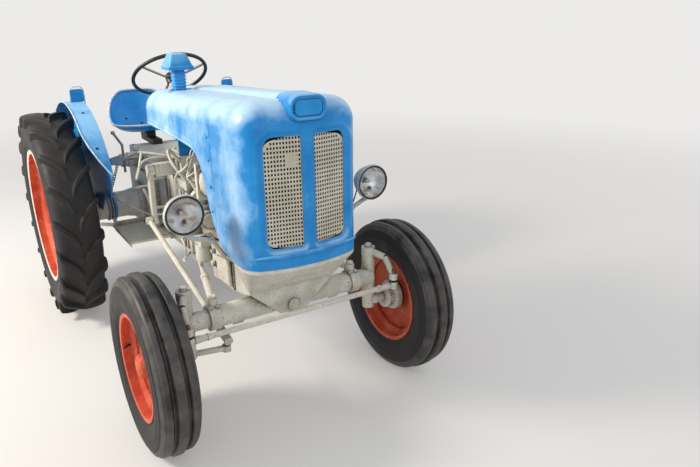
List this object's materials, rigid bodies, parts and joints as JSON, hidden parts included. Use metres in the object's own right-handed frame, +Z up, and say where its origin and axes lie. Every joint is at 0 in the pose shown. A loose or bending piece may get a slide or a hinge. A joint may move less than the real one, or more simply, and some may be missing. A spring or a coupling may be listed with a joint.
{
  "type": "farm tractor",
  "caption": "Vintage farm tractor with a rounded pressed hood, open engine, narrow ribbed front tyres, lugged rear tyres and a rear lift linkage.",
  "frame": {"origin": "middle of the bounding box on the floor", "axes": "+Y to the rear, +X to the tractor's left, +Z up"},
  "size_m": [1.508, 2.7268, 1.5041],
  "materials": {
    "blue_enamel": "faded enamel on pressed steel",
    "cream_enamel": "brushed enamel on cast iron, grimy and rusty",
    "rim_enamel": "faded enamel on rolled steel",
    "tyre_rubber": "weathered and dusty",
    "lamp_chrome": "dulled plating",
    "lamp_glass": "clear, fluted",
    "dark_iron": "oily, rusty",
    "bare_steel": "worn bare",
    "wheel_plastic": "hard moulded, worn"
  },
  "bodies": {
    "tractor": {"front_support": "cream_enamel", "axle_beam": "cream_enamel", "axle_ends": "cream_enamel", "radius_rods": "cream_enamel", "engine_block": "cream_enamel", "cylinder_head": "cream_enamel", "injection_pump": "cream_enamel", "fuel_filters": "cream_enamel", "dynamo": "dark_iron", "radiator": "dark_iron", "gearbox": "cream_enamel", "rear_axle": "cream_enamel", "lift_cover": "cream_enamel", "hood": "blue_enamel", "grille": "cream_enamel", "front_trim": "blue_enamel", "air_intake": "blue_enamel", "instrument_panel": "blue_enamel", "headlamps": "lamp_chrome", "headlamp_glasses": "lamp_glass", "headlamp_brackets": "cream_enamel", "fenders": "blue_enamel", "seat": "blue_enamel", "seat_support": "dark_iron", "steering_box": "cream_enamel", "footrests": "cream_enamel", "pedals": "cream_enamel", "levers": "bare_steel", "exhaust": "dark_iron", "drawbar": "dark_iron"},
    "steering_wheel": {"steering_wheel": "wheel_plastic"},
    "drop_arm": {"drop_arm": "cream_enamel"},
    "drag_link": {"drag_link": "cream_enamel"},
    "tie_rod": {"tie_rod": "cream_enamel"},
    "knuckle_right": {"knuckle_right": "cream_enamel"},
    "knuckle_left": {"knuckle_left": "cream_enamel"},
    "front_wheel_right": {"front_rim_right": "rim_enamel", "front_tyre_right": "tyre_rubber"},
    "front_wheel_left": {"front_rim_left": "rim_enamel", "front_tyre_left": "tyre_rubber"},
    "rear_wheel_right": {"rear_rim_right": "rim_enamel", "rear_tyre_right": "tyre_rubber"},
    "rear_wheel_left": {"rear_rim_left": "rim_enamel", "rear_tyre_left": "tyre_rubber"},
    "lift_arms": {"lift_arms": "cream_enamel"},
    "lift_rods": {"lift_rods": "cream_enamel"},
    "lower_links": {"lower_links": "cream_enamel"}
  },
  "joints": [
    {"name": "steering", "type": "hinge", "parent": "tractor", "child": "knuckle_right", "pos_m": [-0.445, -0.98242, 0.5], "axis": [0, 0, 1], "range_deg": [-30, 30]},
    {"name": "steering_left_knuckle", "type": "hinge", "parent": "tractor", "child": "knuckle_left", "pos_m": [0.445, -0.98242, 0.5], "axis": [0, 0, 1], "range_deg": [-30, 30]},
    {"name": "tie_rod_turn", "type": "hinge", "parent": "knuckle_left", "child": "tie_rod", "pos_m": [0.487, -1.12641, 0.52], "axis": [0, 0, 1], "range_deg": [-30, 30]},
    {"name": "drop_arm_swing", "type": "hinge", "parent": "tractor", "child": "drop_arm", "pos_m": [-0.25, 0.01558, 0.905], "axis": [1, 0, 0], "range_deg": [-18, 18]},
    {"name": "drag_link_turn", "type": "hinge", "parent": "drop_arm", "child": "drag_link", "pos_m": [-0.285, 0.01558, 0.635], "axis": [1, 0, 0], "range_deg": [-18, 18]},
    {"name": "steering_wheel_turn", "type": "hinge", "parent": "tractor", "child": "steering_wheel", "pos_m": [0, 0.32359, 1.357], "axis": [0, 0.5878, 0.809], "range_deg": [-360, 360]},
    {"name": "front_wheel_right_spin", "type": "hinge", "parent": "knuckle_right", "child": "front_wheel_right", "pos_m": [-0.6, -0.99442, 0.369], "axis": [1, 0, 0], "continuous": true},
    {"name": "front_wheel_left_spin", "type": "hinge", "parent": "knuckle_left", "child": "front_wheel_left", "pos_m": [0.6, -0.99442, 0.369], "axis": [1, 0, 0], "continuous": true},
    {"name": "rear_wheel_right_spin", "type": "hinge", "parent": "tractor", "child": "rear_wheel_right", "pos_m": [-0.63, 0.62558, 0.582], "axis": [1, 0, 0], "continuous": true},
    {"name": "rear_wheel_left_spin", "type": "hinge", "parent": "tractor", "child": "rear_wheel_left", "pos_m": [0.63, 0.62558, 0.582], "axis": [1, 0, 0], "continuous": true},
    {"name": "lift", "type": "hinge", "parent": "tractor", "child": "lift_arms", "pos_m": [0, 0.61559, 0.85], "axis": [1, 0, 0], "range_deg": [-5, 45]},
    {"name": "lower_links_turn", "type": "hinge", "parent": "tractor", "child": "lower_links", "pos_m": [0, 0.61559, 0.42], "axis": [1, 0, 0], "range_deg": [-5, 45]},
    {"name": "lift_rods_turn", "type": "hinge", "parent": "lift_arms", "child": "lift_rods", "pos_m": [0, 0.92859, 0.78347], "axis": [1, 0, 0], "range_deg": [-45, 45]}
  ],
  "couplings": [
    {"joint": "steering_left_knuckle", "follows": "steering", "ratio": 1},
    {"joint": "tie_rod_turn", "follows": "steering", "ratio": -1},
    {"joint": "drop_arm_swing", "follows": "steering", "ratio": 0.59259},
    {"joint": "drag_link_turn", "follows": "steering", "ratio": -0.59259},
    {"joint": "steering_wheel_turn", "follows": "steering", "ratio": 12},
    {"joint": "lower_links_turn", "follows": "lift", "ratio": 1},
    {"joint": "lift_rods_turn", "follows": "lift", "ratio": -1}
  ]
}
